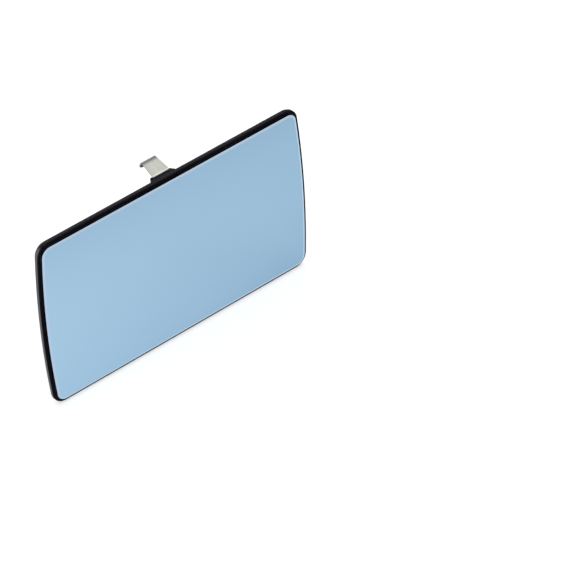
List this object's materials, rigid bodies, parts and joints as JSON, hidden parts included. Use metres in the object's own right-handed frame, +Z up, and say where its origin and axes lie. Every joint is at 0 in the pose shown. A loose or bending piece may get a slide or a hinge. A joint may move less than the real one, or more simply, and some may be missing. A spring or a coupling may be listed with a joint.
{
  "type": "car door mirror glass",
  "caption": "Flat blue-tinted mirror glass bonded to a black moulded backing plate with a ball socket, a guide fork, stiffening ribs, heater contacts and a bent steel spring clip.",
  "frame": {"origin": "pivot of the mirror: on the axis of the ball socket, 6.2 mm inside its mouth", "axes": "+X to the right seen from the front, along the length; +Y from the glass to the back, out of the socket's mouth; +Z up, as fitted in the car"},
  "size_m": [0.1648, 0.022, 0.0992],
  "materials": {
    "tinted_mirror": "polished",
    "heater_film": "matte",
    "black_plastic": "satin",
    "spring_steel": "satin",
    "contact_metal": "bright tinned"
  },
  "bodies": {
    "root": {"mirror_glass": "tinted_mirror", "heater_foil": "heater_film", "backing_plate": "black_plastic", "spring_clip": "spring_steel", "heater_contact_upper": "contact_metal", "heater_contact_lower": "contact_metal"}
  },
  "joints": []
}
